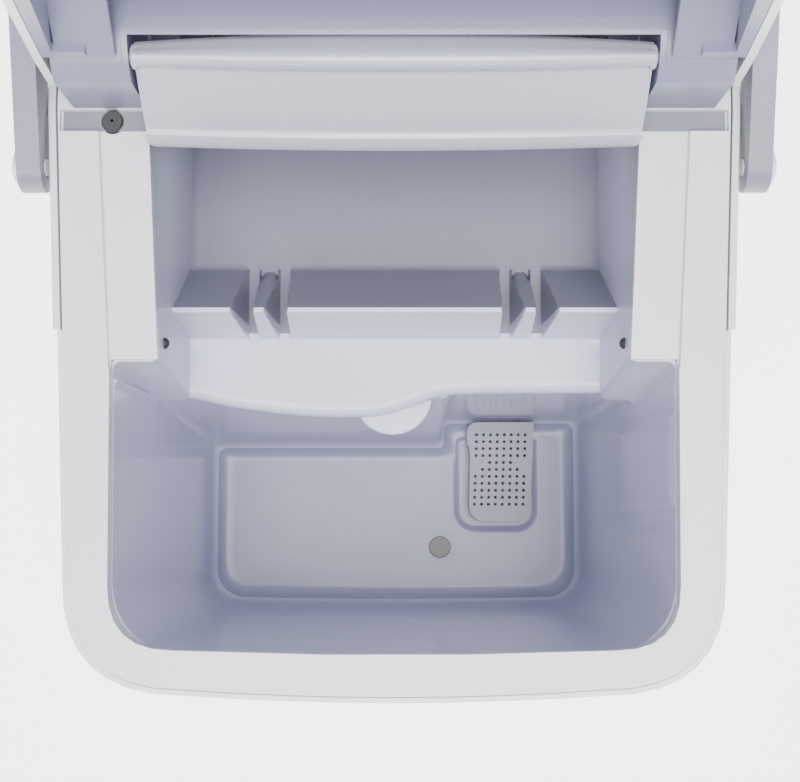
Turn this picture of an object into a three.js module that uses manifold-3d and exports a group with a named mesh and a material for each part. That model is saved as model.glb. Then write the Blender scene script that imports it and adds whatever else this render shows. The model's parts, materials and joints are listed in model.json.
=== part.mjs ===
// Countertop bullet-ice maker with its lid open, in millimetres.
// X is to the right, -Y is the front, Z is up, and Z = 0 is the surface it stands on.
import * as THREE from "three";
import { mergeVertices } from "three/addons/utils/BufferGeometryUtils.js";
import Module from "manifold-3d";

const wasm = await Module();
wasm.setup();

// ---- Driving dimensions ----
const GAP = 0.3; // clearance between pieces that touch
const RIM_Z = 240; // top of the rim round the tank
const DECK_Z = 282; // top of the rear deck and of the closed lid
const FRONT_Y = -150.5; // rim's front edge
const BACK_Y = 150.3; // rear deck's back edge
const SEAM_Y = -26; // seam between front and rear shells
const SIDE_AT_ZERO = 115.5; // half-width of the rim at Y = 0
const SIDE_TAPER = 0.045; // the body narrows towards the front
const STRAIGHT_Y = 52; // behind this the sides run straight back
const RIM_CORNER = 39;
const SHELL_TOP = 238;
const SHELL_BOTTOM = 12;

const RIM_BAND_FRONT = -136.6; // rim's inner edge at the front
const MOUTH_HALF = 98; // rim's inner edge at the sides
const MOUTH_CORNER = 23;
const TANK_FLOOR = 28;
const TANK_FLOOR_HALF = 89.6;
const TANK_FLOOR_FRONT = -130.4;
const TANK_FLOOR_BACK = -54;
const TANK_WALL = 2.5;
const TANK_BACK = -41.5;
const TANK_BACK_TOP = 158;

const CHAMBER_Z = 165; // floor of the ice chamber
const CHAMBER_HALF = 82;
const CHAMBER_BACK = 106;
const CREST_Z = 207; // top of the ridge that the ice slides over
const POST_FRONT = -36;

const HINGE_Y = 70; // lid hinge axis, along X
const HINGE_Z = 256;
const OPEN_ANGLE = 95; // degrees between the closed and the open lid
const NOSE_R = 21.7; // rounded top of the evaporator housing, round the hinge axis
const TROUGH_R = 39.4; // hollow front of the rear deck, round the hinge axis
const NOSE_FRONT = 52;
const LID_CEILING = 278.5;
const LID_SKIRT_Z = 241.4;
const LID_WALL = 3;
const LID_TAIL_Y = 98; // the closed lid's top reaches back to here
const ARM_R = 14.6; // rounded end of each hinge arm
const PIN_R = 3;

const FLAP_HALF = 85.2;
const FLAP_PIVOT = [60, 270];
const TRAY_PIVOT = [88, 205];
const TRAY_CENTRE = [67, 224];
const TRAY_R = 13;
const SHOVEL_PIVOT = [100, 215];

const HANDLE_PIVOT = [32, 236];
const HANDLE_IN = 122.2;
const HANDLE_OUT = 130.6;
const HANDLE_BAR = [142.5, 269]; // centre of the grip, folded back

const FAN_AXIS = [80, 85]; // Y and Z
const FAN_R = 46;
const COMPRESSOR = [-38, 88];
const BUTTON_X = [-52, 0, 52];
const BUTTON_Y = 114;
const BUTTON_R = 7;
const PUMP_COVER = { x0: 32.5, x1: 67.9, y0: -91.6, y1: -43.2, z: 39 };
const DRAIN = [21.8, -104.4];

// ---- Solids: three.js shapes, joined and cut by manifold-3d ----
function solidOf(geometry) {
  const g = geometry.clone();
  g.deleteAttribute("normal");
  g.deleteAttribute("uv");
  const merged = mergeVertices(g, 1e-4);
  return new wasm.Manifold(
    new wasm.Mesh({
      numProp: 3,
      vertProperties: merged.attributes.position.array,
      triVerts: new Uint32Array(merged.index.array),
    }),
  );
}

function geometryOf(solid) {
  const mesh = solid.getMesh();
  const g = new THREE.BufferGeometry();
  const positions = new Float32Array(mesh.vertProperties);
  g.setAttribute("position", new THREE.BufferAttribute(positions, 3));
  g.setIndex(new THREE.BufferAttribute(new Uint32Array(mesh.triVerts), 1));
  g.computeVertexNormals();
  return g;
}

const join = (...solids) => solids.reduce((a, b) => a.add(b));
const cut = (solid, ...tools) => tools.reduce((a, b) => a.subtract(b), solid);
const rad = THREE.MathUtils.degToRad;

function box(x0, x1, y0, y1, z0, z1) {
  const g = new THREE.BoxGeometry(x1 - x0, y1 - y0, z1 - z0);
  g.translate((x0 + x1) / 2, (y0 + y1) / 2, (z0 + z1) / 2);
  return solidOf(g);
}

function shapeOf(points) {
  return new THREE.Shape(points.map(([a, b]) => new THREE.Vector2(a, b)));
}

// A plan outline, raised from z0 to z1.
function raise(shape, z0, z1, curveSegments = 6) {
  const options = { depth: z1 - z0, bevelEnabled: false, curveSegments };
  const g = new THREE.ExtrudeGeometry(shape, options);
  g.translate(0, 0, z0);
  return solidOf(g);
}

// A section drawn in Y and Z, swept along X.
const TO_YZ = new THREE.Matrix4().makeBasis(
  new THREE.Vector3(0, 1, 0),
  new THREE.Vector3(0, 0, 1),
  new THREE.Vector3(1, 0, 0),
);
function sweepX(points, x0, x1) {
  const options = { depth: x1 - x0, bevelEnabled: false };
  const g = new THREE.ExtrudeGeometry(shapeOf(points), options);
  g.applyMatrix4(TO_YZ);
  g.translate(x0, 0, 0);
  return solidOf(g);
}

// A round bar along an axis, from a to b.
function bar(radius, axis, a, b, [u, v], sides = 20) {
  const g = new THREE.CylinderGeometry(radius, radius, Math.abs(b - a), sides);
  if (axis === "x") g.rotateZ(-Math.PI / 2).translate((a + b) / 2, u, v);
  if (axis === "y") g.translate(u, (a + b) / 2, v);
  if (axis === "z") g.rotateX(Math.PI / 2).translate(u, v, (a + b) / 2);
  return solidOf(g);
}

// A profile of radius and height, turned round the Z axis at a point.
function turned(profile, x, y, segments = 24) {
  const points = profile.map(([r, z]) => new THREE.Vector2(r, z));
  const g = new THREE.LatheGeometry(points, segments);
  g.rotateX(Math.PI / 2).translate(x, y, 0);
  return solidOf(g);
}

// A tube whose centre line passes through points.
function tube(points, radius, sides = 8, steps = 24) {
  const path = new THREE.CatmullRomCurve3(
    points.map((p) => new THREE.Vector3(...p)),
    false,
    "centripetal",
  );
  const ring = new THREE.Shape();
  ring.absarc(0, 0, radius, 0, Math.PI * 2, false);
  const options = { steps, extrudePath: path, curveSegments: sides / 2 };
  return solidOf(new THREE.ExtrudeGeometry(ring, options));
}

// Points on an arc round a centre, angles in degrees from +Y towards +Z.
function arc([cy, cz], r, from, to, steps) {
  return Array.from({ length: steps + 1 }, (_, i) => {
    const a = rad(from + ((to - from) * i) / steps);
    return [cy + r * Math.cos(a), cz + r * Math.sin(a)];
  });
}

// A disc and a smaller disc joined by straight sides, drawn in Y and Z.
function link(a, ra, b, rb, steps = 10) {
  const along = THREE.MathUtils.radToDeg(Math.atan2(b[1] - a[1], b[0] - a[0]));
  const reach = Math.hypot(b[0] - a[0], b[1] - a[1]);
  const turn = THREE.MathUtils.radToDeg(Math.acos((ra - rb) / reach));
  return [
    ...arc(b, rb, along - turn, along + turn, steps),
    ...arc(a, ra, along + turn, along + 360 - turn, steps),
  ];
}

// ---- Plan outline of the body ----
const sideAt = (y) => SIDE_AT_ZERO + SIDE_TAPER * Math.min(y, STRAIGHT_Y);

// The outline, grown outwards by a distance, from the front to a back line.
function bodyOutline(grow, back = BACK_Y + grow, backCorner = 22) {
  const front = FRONT_Y - grow;
  const r = RIM_CORNER + grow;
  const low = front + r;
  const half = (y) => sideAt(y) + grow;
  const bulge = 2.5; // the front is slightly bowed
  const s = new THREE.Shape();
  s.moveTo(half(low) - r, front + bulge);
  s.quadraticCurveTo(0, front - bulge, r - half(low), front + bulge);
  s.quadraticCurveTo(-half(low), front + bulge, -half(low), low);
  s.lineTo(-half(STRAIGHT_Y), STRAIGHT_Y);
  if (backCorner > 0) {
    s.lineTo(-half(back), back - backCorner);
    s.quadraticCurveTo(-half(back), back, backCorner - half(back), back);
    s.lineTo(half(back) - backCorner, back);
    s.quadraticCurveTo(half(back), back, half(back), back - backCorner);
  } else {
    if (back !== STRAIGHT_Y) s.lineTo(-half(back), back);
    s.lineTo(half(back), back);
  }
  if (back !== STRAIGHT_Y) s.lineTo(half(STRAIGHT_Y), STRAIGHT_Y);
  s.lineTo(half(low), low);
  s.quadraticCurveTo(half(low), front + bulge, half(low) - r, front + bulge);
  return s;
}

// The mouth of the tank; its sides lean in and its floor is smaller.
function mouthOutline(grow, back) {
  const half = MOUTH_HALF + grow;
  const front = RIM_BAND_FRONT - grow;
  const r = MOUTH_CORNER + grow;
  const s = new THREE.Shape();
  s.moveTo(half, back);
  s.lineTo(half - 1, front + r);
  s.quadraticCurveTo(half - 1, front + 1.5, half - r, front + 1.5);
  s.quadraticCurveTo(0, front - 1.5, r - half, front + 1.5);
  s.quadraticCurveTo(1 - half, front + 1.5, 1 - half, front + r);
  s.lineTo(-half, back);
  return s;
}

// Draws the lower part of a raised shape in, so that its walls lean.
function leanIn(shape, z0, z1, floor) {
  const options = { depth: z1 - z0, bevelEnabled: false, curveSegments: 6 };
  const g = new THREE.ExtrudeGeometry(shape, options);
  g.translate(0, 0, z0);
  const p = g.attributes.position;
  const topFront = RIM_BAND_FRONT;
  for (let i = 0; i < p.count; i++) {
    const down = (RIM_Z - p.getZ(i)) / (RIM_Z - TANK_FLOOR);
    const narrow = 1 - (1 - floor.half / MOUTH_HALF) * down;
    const ahead = (p.getY(i) - floor.hold) / (topFront - floor.hold);
    p.setX(i, p.getX(i) * narrow);
    p.setY(i, p.getY(i) + (floor.front - topFront) * down * ahead);
  }
  return solidOf(g);
}

// ---- Casing ----
function basePan() {
  const plate = raise(bodyOutline(-1.2), 8, 11);
  const lip = cut(raise(bodyOutline(-1.2), 10.5, 20), raise(bodyOutline(-3.4), 10, 21));
  const drain = bar(9.5, "z", 5, 14, DRAIN);
  const vents = [-1, 0, 1].map((i) => box(60 + 14 * i, 66 + 14 * i, 30, 120, 5, 14));
  return cut(join(plate, lip), drain, ...vents);
}

function foot(x, y) {
  return turned([[0, 0], [8.6, 0], [10, 1.4], [9, 7.7], [0, 7.7]], x, y);
}

function frontShell() {
  const outer = raise(bodyOutline(2.4), SHELL_BOTTOM, SHELL_TOP, 8);
  const inner = raise(bodyOutline(0.4), SHELL_BOTTOM - 1, SHELL_TOP + 1, 8);
  const rear = box(-140, 140, SEAM_Y - GAP, 170, 0, 300);
  return cut(outer, inner, rear);
}

// Slots in a row, through a side wall or the back wall.
function slotRow(axis, at, count, pitch, centre, width, z0, z1) {
  const slots = [];
  for (let i = 0; i < count; i++) {
    const c = centre + (i - (count - 1) / 2) * pitch;
    const [a, b] = [c - width / 2, c + width / 2];
    if (axis === "x") slots.push(box(at - 9, at + 9, a, b, z0, z1));
    else slots.push(box(a, b, at - 9, at + 9, z0, z1));
  }
  return slots;
}

function rearShell() {
  const outer = raise(bodyOutline(3.9), SHELL_BOTTOM, SHELL_TOP, 8);
  const inner = raise(bodyOutline(1.2), SHELL_BOTTOM - 1, SHELL_TOP + 1, 8);
  const rightVents = slotRow("x", 121, 11, 9, 80, 4.5, 40, 130);
  const leftVents = slotRow("x", -121, 11, 9, 80, 4.5, 60, 110);
  const window = box(-66, 66, 140, 165, 52, 132);
  const front = box(-140, 140, -200, SEAM_Y + GAP, 0, 300);
  const gland = bar(9.3, "y", 140, 165, [-80, 34]);
  return cut(outer, inner, front, window, gland, ...rightVents, ...leftVents);
}

function rearGrille() {
  const plate = box(-65.6, 65.6, 152, 154.2, 52.4, 131.6);
  return cut(plate, ...slotRow("y", 153, 14, 9, 0, 4.2, 58, 126));
}

const POST_IN = (y) => 83.8 + 0.055 * y; // inner edge of a side post's top
function topFrame() {
  const ring = raise(bodyOutline(0), 234, RIM_Z, 8);
  const mouth = raise(mouthOutline(0, POST_FRONT), 230, 245, 6);
  const chamber = shapeOf([
    [-POST_IN(POST_FRONT), POST_FRONT - 0.5],
    [POST_IN(POST_FRONT), POST_FRONT - 0.5],
    [POST_IN(44), 44],
    [86.2, NOSE_FRONT],
    [86.2, 84],
    [-86.2, 84],
    [-86.2, NOSE_FRONT],
    [-POST_IN(44), 44],
  ]);
  const tailSlot = box(-116.2, 116.2, 88, 98, 230, 245);
  const well = join(tailSlot, box(-111.5, 111.5, 79, 126, 230, 245), box(-96, 96, 120, 146, 230, 245));
  const lowered = [-1, 1].map((side) => {
    const pocket = shapeOf([
      [side * 70, POST_FRONT - 3],
      [side * 98.3, POST_FRONT - 3],
      [side * 103.5, 44],
      [side * 117, 44],
      [side * 117, NOSE_FRONT - 0.3],
      [side * 70, NOSE_FRONT - 0.3],
    ]);
    return raise(pocket, RIM_Z - 2.6, 245);
  });
  const screw = bar(4.5, "z", 235, 245, [-99, 48]);
  return cut(ring, mouth, raise(chamber, 230, 245), well, ...lowered, screw);
}

// ---- Water tank and ice chamber ----
function waterTank() {
  const floor = { half: TANK_FLOOR_HALF, front: TANK_FLOOR_FRONT, hold: TANK_FLOOR_BACK };
  const outline = (grow) => mouthOutline(grow, TANK_BACK + grow);
  const outer = leanIn(outline(TANK_WALL), TANK_FLOOR - TANK_WALL, 233.6, floor);
  const inner = leanIn(outline(0), TANK_FLOOR, 240, floor);
  const backSlope = [
    [TANK_FLOOR_BACK, TANK_FLOOR - 1],
    [TANK_BACK - 0.2, 161],
    [TANK_BACK + 4, 161],
    [TANK_BACK + 4, TANK_FLOOR - 1],
  ];
  const spout = bar(8.6, "z", 12.5, TANK_FLOOR - 1, DRAIN);
  const hollow = cut(inner, sweepX(backSlope, -95, 22));
  const overBack = box(-95.2, 95.2, TANK_BACK - 2, TANK_BACK + 4, TANK_BACK_TOP, 260);
  return cut(join(outer, spout), hollow, overBack, bar(6.5, "z", 5, TANK_FLOOR + 4, DRAIN));
}

// The ridge across the chamber, with two pairs of drain slots.
function ridge() {
  const section = [
    [-19, CHAMBER_Z - 1],
    [-19, CHAMBER_Z],
    [-16, CREST_Z - 2],
    [-15, CREST_Z],
    [-13, CREST_Z],
    [9, CHAMBER_Z],
    [9, CHAMBER_Z - 1],
  ];
  const slots = [-1, 1].flatMap((side) =>
    [56.5, 44].map((x) => {
      const mouth = [
        [side * (x - 2.2), CHAMBER_Z],
        [side * (x + 2.2), CHAMBER_Z],
        [side * (x + 4.2), CREST_Z + 4],
        [side * (x - 4.2), CREST_Z + 4],
      ];
      const options = { depth: 60, bevelEnabled: false };
      const g = new THREE.ExtrudeGeometry(shapeOf(side > 0 ? mouth : mouth.reverse()), options);
      g.rotateX(Math.PI / 2).translate(0, 30, 0);
      return solidOf(g);
    }),
  );
  return cut(sweepX(section, -CHAMBER_HALF - 0.5, CHAMBER_HALF + 0.5), ...slots);
}

function iceChamber() {
  const floor = box(-86, 86, -47, CHAMBER_BACK + 2.5, CHAMBER_Z - 3, CHAMBER_Z);
  const walls = [-1, 1].map((side) => {
    const wall = shapeOf([
      [side * CHAMBER_HALF, POST_FRONT],
      [side * (POST_IN(POST_FRONT) + 3), POST_FRONT],
      [side * 84.6, CHAMBER_BACK + 2.5],
      [side * CHAMBER_HALF, CHAMBER_BACK + 2.5],
    ]);
    return raise(wall, CHAMBER_Z - 1, 216);
  });
  const upper = [-1, 1].map((side) => {
    const wall = shapeOf([
      [side * POST_IN(POST_FRONT), POST_FRONT],
      [side * (POST_IN(POST_FRONT) + 3), POST_FRONT],
      [side * 88.6, 78],
      [side * 86, 78],
      [side * POST_IN(44), 44],
    ]);
    return raise(wall, 215, 233.7);
  });
  const lean = [[POST_FRONT, 233.7], [-43.4, CHAMBER_Z - 1], [-41, CHAMBER_Z - 1], [POST_FRONT + 2.4, 233.7]];
  const postFronts = [sweepX(lean, -94.5, -81.8), sweepX(lean, 81.8, 94.5)];
  const rear = box(-84.6, 84.6, CHAMBER_BACK, CHAMBER_BACK + 2.5, CHAMBER_Z - 1, 216);
  const shelf = box(-94.5, 94.5, -46, POST_FRONT + 2.4, CHAMBER_Z - 3, CHAMBER_Z);
  const apron = sweepX(
    [[-46, CHAMBER_Z], [-44, CHAMBER_Z], [-46, 160], [-49, 155], [-50.5, 155], [-49, 162]],
    -92,
    92,
  );
  const tongue = cut(bar(16, "z", 152, 156, [-1, -40.9]), box(-20, 20, -46, -20, 150, 170));
  const holes = [-1, 1].map((side) => bar(2.8, "x", side * 85 - 9, side * 85 + 9, [-29, 225], 12));
  const body = join(floor, shelf, apron, tongue, rear, ...walls, ...upper, ...postFronts, ridge());
  const shafts = [TRAY_PIVOT, SHOVEL_PIVOT].flatMap((pivot) =>
    [-1, 1].map((side) => bar(2.6, "x", side * 83 - 5, side * 83 + 5, pivot, 12)),
  );
  return cut(body, ...holes, ...shafts);
}

function irSensor(side) {
  const tip = bar(2.4, "x", side * 82.4, side * 86.6, [-29, 225], 12);
  const can = side > 0 ? box(89.6, 93, -33, -25, 219, 231) : box(-93, -89.6, -33, -25, 219, 231);
  const stem = bar(1.6, "x", side * 86, side * 90, [-29, 225], 12);
  return join(tip, can, stem);
}

function pumpCover() {
  const { x0, x1, y0, y1, z } = PUMP_COVER;
  const outline = (inset) => {
    const s = new THREE.Shape();
    const [a, b, c, d] = [x0 + inset, x1 - inset, y0 + inset, y1 - inset];
    s.moveTo(a + 8, c);
    s.lineTo(b - 6, c);
    s.quadraticCurveTo(b, c, b, c + 6);
    s.lineTo(b, d);
    s.lineTo(a - 2, d);
    s.quadraticCurveTo(a - 5.5, d, a - 5.5, d - 4);
    s.quadraticCurveTo(a - 5.5, d - 9, a, d - 11);
    s.lineTo(a, c + 8);
    s.quadraticCurveTo(a, c, a + 8, c);
    return s;
  };
  const shell = cut(raise(outline(0), TANK_FLOOR + GAP, z), raise(outline(1.8), 20, z - 1.8));
  const rows = [8, 8, 8, 8, 4, 6, 8, 8, 8, 8, 8]; // holes in each row, from the back
  const pitch = 3.4;
  const holes = rows.flatMap((count, row) =>
    Array.from({ length: count }, (_, i) => {
      const x = (x0 + x1) / 2 + (i - (count - 1) / 2) * pitch;
      return bar(0.9, "z", z - 3, z + 1, [x, y1 - 7 - row * pitch], 4);
    }),
  );
  return cut(shell, ...holes);
}

function drainPlug() {
  const profile = [
    [0, 10], [5.6, 10], [6.1, 12], [6.1, 29],
    [6.4, 29.4], [6.4, 30.2], [5.8, 30.8], [0, 30.8],
  ];
  return turned(profile, ...DRAIN);
}

// ---- Evaporator housing and the deck behind it ----
const AXIS = [HINGE_Y, HINGE_Z];
function evaporatorHousing() {
  const corner = Math.acos((NOSE_FRONT - HINGE_Y) / NOSE_R);
  const start = THREE.MathUtils.radToDeg(corner);
  const base = RIM_Z + GAP;
  const down = -46;
  const section = [[84.4, base], ...arc(AXIS, NOSE_R, down, start, 12), [NOSE_FRONT, base]];
  const ends = [-1, 1].map((side) => {
    const [a, b] = side < 0 ? [-112, -86.5] : [86.5, 112];
    const block = sweepX(section, a, b);
    const inside = [[82, 230], ...arc(AXIS, NOSE_R - 2.4, down, start - 6, 8), [NOSE_FRONT + 2.4, 230]];
    return cut(block, sweepX(inside, a + 2.4, b - 4));
  });
  const outer = arc(AXIS, NOSE_R, down, 100, 12);
  const inner = arc(AXIS, NOSE_R - 2.2, 100, down, 12);
  const roof = sweepX([[82, 226.5], ...outer, ...inner, [79.8, 236], [79.8, 226.5]], -87, 87);
  const pins = [-1, 1].map((side) => bar(PIN_R + 0.08, "x", side * 110 - 7, side * 110 + 7, AXIS, 16));
  const flapPins = [-1, 1].map((side) => bar(2.5, "x", side * 87 - 3, side * 87 + 3, FLAP_PIVOT, 16));
  return cut(join(roof, ...ends), ...pins, ...flapPins);
}

function rearDeck() {
  const hollowFront = arc(AXIS, TROUGH_R, -60, 41.2, 13);
  const base = RIM_Z + GAP;
  const step = { y: 131.5, z: 262 };
  const t = 2.6;
  const bevel = 3.5;
  const outside = [
    ...hollowFront,
    [100, DECK_Z],
    [step.y - bevel, DECK_Z],
    [step.y, DECK_Z - bevel],
    [step.y, step.z],
    [BACK_Y, step.z],
    [BACK_Y, base],
  ];
  const inside = [
    [BACK_Y - t, base],
    [BACK_Y - t, step.z - t],
    [step.y - t, step.z - t],
    [step.y - t, DECK_Z - t - bevel + 1],
    [step.y - t - bevel + 1, DECK_Z - t],
    [103.5, DECK_Z - t],
    ...arc(AXIS, TROUGH_R + t, 32, -60, 11),
  ];
  const wall = sweepX([...outside, ...inside], -117, 117);
  const cap = [...outside, [111, base], ...arc(AXIS, TROUGH_R + t, -24, -60, 5)];
  const lowCut = box(-140, 140, 60, 170, 200, base);
  const capAt = (a, b) => cut(sweepX(cap, a, b), lowCut);
  const cheek = [[74, base], [74, DECK_Z - 8], [82, DECK_Z], ...outside.slice(-5)];
  const sides = [-1, 1].flatMap((side) => {
    const at = (a, b) => (side < 0 ? [-b, -a] : [a, b]);
    return [capAt(...at(114.6, 117.6)), sweepX(cheek, ...at(117.4, 119.6))];
  });
  const trim = [box(-118, -111.2, 60, 118, 200, base), box(111.2, 118, 60, 118, 200, base)];
  const panel = box(-95.4, 95.4, 103.6, 127.4, DECK_Z - 1.4, DECK_Z + 2);
  const holes = BUTTON_X.map((x) => bar(BUTTON_R + 1, "z", DECK_Z - 5, DECK_Z + 2, [x, BUTTON_Y]));
  const plan = raise(bodyOutline(1.7), 200, 300);
  const skirt = cut(raise(bodyOutline(1.7), base, step.z - 1), raise(bodyOutline(-1.2), 230, step.z));
  const skirtBack = cut(skirt, box(-140, 140, -200, 128, 200, 300));
  return cut(join(wall, skirtBack, ...sides).intersect(plan), ...trim, panel, ...holes);
}

function controlPanel() {
  const s = new THREE.Shape();
  const [x, y0, y1, r] = [95, 104, 127, 5];
  s.moveTo(-x + r, y0);
  s.lineTo(x - r, y0);
  s.quadraticCurveTo(x, y0, x, y0 + r);
  s.lineTo(x, y1 - r);
  s.quadraticCurveTo(x, y1, x - r, y1);
  s.lineTo(-x + r, y1);
  s.quadraticCurveTo(-x, y1, -x, y1 - r);
  s.lineTo(-x, y0 + r);
  s.quadraticCurveTo(-x, y0, -x + r, y0);
  const plate = raise(s, DECK_Z - 1.1, DECK_Z + 0.3);
  const holes = BUTTON_X.map((x2) => bar(BUTTON_R + 0.35, "z", DECK_Z - 5, DECK_Z + 2, [x2, BUTTON_Y]));
  const lens = box(-30.3, 30.3, 122.5, 126.1, DECK_Z - 0.4, DECK_Z + 2);
  return cut(plate, ...holes, lens);
}

const BUTTON_TOP = DECK_Z + 1.9;
const BUTTON_TRAVEL = 1.2;
function button(x) {
  const profile = [[0, 275.4], [2.4, 275.4], [2.4, 277.4], [BUTTON_R - 0.6, 277.4], [BUTTON_R, 278.4],
    [BUTTON_R, BUTTON_TOP - 0.8], [BUTTON_R - 0.8, BUTTON_TOP], [0, BUTTON_TOP]];
  return turned(profile, x, BUTTON_Y, 18);
}

const indicatorLens = () => box(-30, 30, 122.8, 125.8, DECK_Z - 0.1, DECK_Z + 0.7);

function controlBoard() {
  const board = box(-70, 70, 109.8, 127.4, 271, 272.6);
  const switches = BUTTON_X.map((x) => box(x - 3, x + 3, BUTTON_Y - 3, BUTTON_Y + 3, 272.5, 273.9));
  const lamps = [-20, -7, 7, 20].map((x) => bar(1.5, "z", 272.5, 276, [x, 124.3], 10));
  return join(board, ...switches, ...lamps);
}

// ---- Lid, drawn closed and then turned open about its hinge ----
const LID_INSET = 1;
function lidShell() {
  const cover = (grow, z0, z1) => raise(bodyOutline(grow - LID_INSET, LID_TAIL_Y, 0), z0, z1, 8);
  const outer = join(
    cover(0, LID_SKIRT_Z, DECK_Z - 4),
    cover(-1.2, DECK_Z - 4.01, DECK_Z - 1.2),
    cover(-4, DECK_Z - 1.21, DECK_Z),
  );
  const inner = raise(bodyOutline(-LID_INSET - LID_WALL, LID_TAIL_Y + 20, 0), 230, LID_CEILING, 8);
  const tail = box(-130, 130, HINGE_Y, 120, 230, LID_CEILING);
  const sides = [-1, 1].map((side) => {
    const x = side * 115;
    const section = [...arc(AXIS, ARM_R, -95, 60, 10), [HINGE_Y, LID_CEILING + 1], [HINGE_Y, 245]];
    return sweepX(section, x - 1.9, x + 1.9);
  });
  const holes = [-1, 1].map((side) => bar(PIN_R + 0.3, "x", side * 115 - 6, side * 115 + 6, AXIS, 20));
  const tailSides = [box(-130, -111, 84.8, 120, 230, 300), box(111, 130, 84.8, 120, 230, 300)];
  const behindStraight = [-1, 1].map((side) => {
    const [a, b] = side < 0 ? [-113.1, -100] : [100, 113.1];
    return box(a, b, 50, HINGE_Y, 235, LID_CEILING);
  });
  return cut(join(cut(outer, inner, tail), ...sides), ...holes, ...behindStraight, ...tailSides);
}

function lidLiner() {
  const outline = bodyOutline(-LID_INSET - LID_WALL - GAP, 50, 0);
  const body = cut(raise(outline, LID_SKIRT_Z, 267, 8));
  const section = [[-139, 230], [-134, 258], [-130, 262], [24, 262], [34, 254], [50, 241], [52, 230]];
  const pan = sweepX(section, -99, 99);
  const pointedSides = [-1, 1].map((side) => {
    const plan = [[96, -137], [101, -60], [109.6, 46], [90, 46], [90, -137]];
    const s = shapeOf(plan.map(([x, y]) => [side * x, y]));
    return raise(s, 230, 262);
  });
  const slope = sweepX([[24.6, 300], [24.6, 262], [34, 254.2], [50, 241.6], [60, 230], [60, 300]], -120, 120);
  const lipSection = [[24, 264], [24, 262], [34, 254], [49.6, 241.4], [49.6, 243.4], [35, 256.6], [26, 264]];
  const rearLip = sweepX(lipSection, -109, 109);
  const notch = box(-90, 90, 24.5, 60, 225, 261.5);
  const swept = sweepX([[20, 230], [20, 256], [26, 263], [33, 278], [60, 278], [60, 230]], -90, 90);
  return cut(join(cut(body, pan, ...pointedSides, slope), rearLip), notch, swept);
}

const hingePin = (side) => {
  const [a, b] = side < 0 ? [-116.7, -105] : [105, 116.7];
  return bar(PIN_R, "x", a, b, AXIS, 16);
};

// ---- Guard flap in front of the evaporator ----
function guardFlap() {
  const upperFront = [[58, 274.6], [54.5, 273.2], [52.6, 270], [48, 263.4], [43.6, 256.6]];
  const lowerFront = [[40.4, 250.4], [37.4, 248.4], [35, 243]];
  const lowerBack = [[37.2, 242.6], [39.4, 246.8], [42.4, 249], [46, 255.4]];
  const upperBack = [[50.4, 262.2], [54.6, 268.4], [57, 271.4], [62.4, 272.2], [62.4, 274.6]];
  const sheet = sweepX([...upperFront, ...lowerFront, ...lowerBack, ...upperBack], -FLAP_HALF, FLAP_HALF);
  const pins = [-1, 1].map((side) => {
    const [a, b] = side < 0 ? [-88.6, -82] : [82, 88.6];
    const [c, d] = side < 0 ? [-FLAP_HALF, -82] : [82, FLAP_HALF];
    const ear = sweepX(link(FLAP_PIVOT, 4, [56.5, 271.5], 2.6, 6), c, d);
    return join(bar(2.2, "x", a, b, FLAP_PIVOT, 16), ear);
  });
  return join(sheet, ...pins);
}

// ---- Ice-making parts behind the flap ----
function evaporator() {
  const header = box(-72, 72, 61, 73, 252, 261);
  const [y] = TRAY_CENTRE;
  const fingers = Array.from({ length: 9 }, (_, i) => {
    const profile = [[0, 219], [2, 219.4], [3.4, 222], [3.6, 253], [0, 253]];
    return turned(profile, (i - 4) * 15, y, 8);
  });
  return join(header, ...fingers);
}

function waterTray() {
  const [cy, cz] = TRAY_CENTRE;
  const trough = [...arc(TRAY_CENTRE, TRAY_R, 180, 360, 12), ...arc(TRAY_CENTRE, TRAY_R - 1.6, 360, 180, 12)];
  const ends = [-1, 1].map((side) => {
    const plate = link([cy, cz - 2], TRAY_R - 1, TRAY_PIVOT, 5.4, 8);
    const [a, b] = side < 0 ? [-74.5, -72.5] : [72.5, 74.5];
    const top = box(a - 1, b + 1, cy - 20, cy + 14, cz + 1, cz + 20);
    const [c, d] = side < 0 ? [-84.4, -73] : [73, 84.4];
    return join(cut(sweepX(plate, a, b), top), bar(2.2, "x", c, d, TRAY_PIVOT, 12));
  });
  return join(sweepX(trough, -73, 73), ...ends);
}

function iceShovel() {
  const [py, pz] = SHOVEL_PIVOT;
  const [ty, tz] = [75.4, 176.1];
  const along = new THREE.Vector2(ty - py, tz - pz).normalize();
  const side = [-along.y * 1.2, along.x * 1.2];
  const neck = [py + along.x * 3, pz + along.y * 3];
  const corners = (sign, [y, z]) => [y + sign * side[0], z + sign * side[1]];
  const section = [corners(1, neck), corners(-1, neck), corners(-1, [ty, tz]), corners(1, [ty, tz])];
  const blade = sweepX(section, -64, 64);
  const lip = box(-64, 64, ty - 2.5, ty + 1, tz - 1.2, tz + 1);
  const hub = bar(4, "x", -64.4, 64.4, SHOVEL_PIVOT, 14);
  const shaft = bar(2.2, "x", -84.4, 84.4, SHOVEL_PIVOT, 12);
  return join(blade, lip, hub, shaft);
}

function trayMotor() {
  const [y, z] = TRAY_PIVOT;
  return join(bar(16, "x", 92, 106, [y + 4, z - 4], 24), box(90.4, 92.2, y - 16, y + 24, z - 24, z + 12),
    bar(3, "x", 86.9, 91, [y, z], 12));
}

// ---- Water circuit ----
function waterPump() {
  const body = bar(17, "z", 32, 52, [50, -18], 24);
  const motor = bar(14, "z", 51.5, 84, [50, -18], 24);
  const inlet = bar(5, "y", -37.9, -10, [50, 40], 16);
  const outlet = bar(4, "x", 60, 80, [-18, 44], 16);
  const bracket = box(36, 64, -34, -2, 21, 32.4);
  return join(body, motor, inlet, outlet, bracket);
}

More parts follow.
